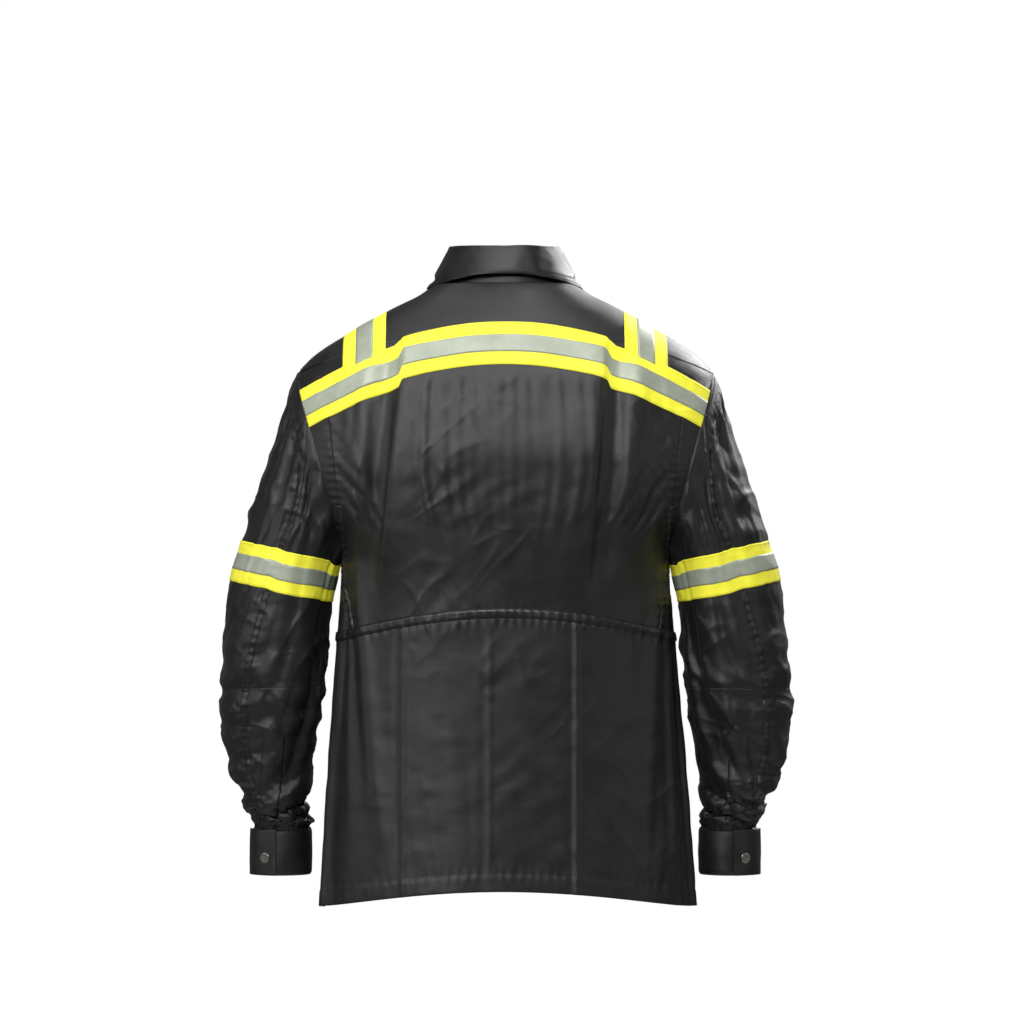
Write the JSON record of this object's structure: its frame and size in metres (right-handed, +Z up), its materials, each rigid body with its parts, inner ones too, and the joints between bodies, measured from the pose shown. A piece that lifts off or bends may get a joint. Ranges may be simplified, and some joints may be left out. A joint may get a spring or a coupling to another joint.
{
  "type": "high-visibility work coat",
  "caption": "Lightweight black work coat with turn-down collar, two-tone reflective tapes, zip front, chest pockets, jointed sleeves and snap cuffs.",
  "frame": {"origin": "centre of the neck seam, where the wearer's neck carries the coat", "axes": "+Z up along the body, -Y to the coat's front, +X to its left side"},
  "size_m": [0.678, 0.2766, 0.774],
  "materials": {
    "black_cloth": "fine black twill, faint satin sheen",
    "lime_tape": "fluorescent lime-yellow woven tape",
    "silver_tape": "silver retroreflective film, fine grain",
    "zip_fabric": "herringbone zip tape",
    "zip_metal": "black moulded plastic",
    "snap_metal": "nickel-plated snap"
  },
  "bodies": {
    "body": {"back_lower_panel": "black_cloth", "back_silver_strip": "silver_tape", "back_tape": "lime_tape", "back_upper_panel": "black_cloth", "back_yoke": "black_cloth", "collar_leaf": "black_cloth", "collar_stand": "black_cloth", "hanger_loop": "black_cloth", "left_back_side_panel": "black_cloth", "left_brace_silver_strip": "silver_tape", "left_brace_tape": "lime_tape", "left_chest_silver_strip": "silver_tape", "left_chest_tape": "lime_tape", "left_front_panel": "black_cloth", "left_pocket": "black_cloth", "right_back_side_panel": "black_cloth", "right_brace_silver_strip": "silver_tape", "right_brace_tape": "lime_tape", "right_chest_silver_strip": "silver_tape", "right_chest_tape": "lime_tape", "right_front_panel": "black_cloth", "right_pocket": "black_cloth", "waist_casing": "black_cloth", "zip_stops": "zip_metal", "zip_tape_left": "zip_fabric", "zip_tape_right": "zip_fabric", "zip_teeth_left": "zip_metal", "zip_teeth_right": "zip_metal"},
    "zip_slider": {"zip_slider": "zip_metal"},
    "zip_pull": {"zip_pull": "zip_metal"},
    "left_pocket_flap": {"left_pocket_flap": "black_cloth", "left_pocket_flap_snap": "snap_metal"},
    "left_sleeve": {"left_sleeve_upper_outer": "black_cloth", "left_sleeve_upper_under": "black_cloth", "left_arm_tape": "lime_tape", "left_arm_silver_strip": "silver_tape"},
    "left_forearm": {"left_sleeve_lower_outer": "black_cloth", "left_sleeve_lower_under": "black_cloth", "left_sleeve_placket": "black_cloth", "left_cuff": "black_cloth", "left_cuff_snap_stud": "snap_metal"},
    "left_cuff_tab": {"left_cuff_tab": "black_cloth", "left_cuff_snap_cap": "snap_metal"},
    "right_pocket_flap": {"right_pocket_flap": "black_cloth", "right_pocket_flap_snap": "snap_metal"},
    "right_sleeve": {"right_sleeve_upper_outer": "black_cloth", "right_sleeve_upper_under": "black_cloth", "right_arm_tape": "lime_tape", "right_arm_silver_strip": "silver_tape"},
    "right_forearm": {"right_sleeve_lower_outer": "black_cloth", "right_sleeve_lower_under": "black_cloth", "right_sleeve_placket": "black_cloth", "right_cuff": "black_cloth", "right_cuff_snap_stud": "snap_metal"},
    "right_cuff_tab": {"right_cuff_tab": "black_cloth", "right_cuff_snap_cap": "snap_metal"}
  },
  "joints": [
    {"name": "zip_slide", "type": "slide", "parent": "body", "child": "zip_slider", "axis": [0, -0.0819, -0.9966], "range_m": [0, 0.66]},
    {"name": "zip_pull_swing", "type": "hinge", "parent": "zip_slider", "child": "zip_pull", "pos_m": [0, -0.08753, -0.03781], "axis": [-1, 0, 0], "range_deg": [0, 150]},
    {"name": "left_pocket_flap_lift", "type": "hinge", "parent": "body", "child": "left_pocket_flap", "pos_m": [0.097, -0.09815, -0.222], "axis": [-0.9956, -0.0934, 0], "range_deg": [0, 110]},
    {"name": "left_arm_raise", "type": "hinge", "parent": "body", "child": "left_sleeve", "pos_m": [0.2462, 0, -0.105], "axis": [0, -1, 0], "range_deg": [0, 35]},
    {"name": "left_elbow_bend", "type": "hinge", "parent": "left_sleeve", "child": "left_forearm", "pos_m": [0.28, -0.064, -0.49], "axis": [-1, 0, 0], "range_deg": [0, 45]},
    {"name": "left_cuff_tab_open", "type": "hinge", "parent": "left_forearm", "child": "left_cuff_tab", "pos_m": [0.29993, -0.0096, -0.6695], "axis": [0, 0, -1], "range_deg": [0, 100]},
    {"name": "right_pocket_flap_lift", "type": "hinge", "parent": "body", "child": "right_pocket_flap", "pos_m": [-0.097, -0.09815, -0.222], "axis": [-0.9956, 0.0934, 0], "range_deg": [0, 110]},
    {"name": "right_arm_raise", "type": "hinge", "parent": "body", "child": "right_sleeve", "pos_m": [-0.2462, 0, -0.105], "axis": [0, 1, 0], "range_deg": [0, 35]},
    {"name": "right_elbow_bend", "type": "hinge", "parent": "right_sleeve", "child": "right_forearm", "pos_m": [-0.28, -0.064, -0.49], "axis": [-1, 0, 0], "range_deg": [0, 45]},
    {"name": "right_cuff_tab_open", "type": "hinge", "parent": "right_forearm", "child": "right_cuff_tab", "pos_m": [-0.29993, -0.0096, -0.6695], "axis": [0, 0, 1], "range_deg": [0, 100]}
  ]
}
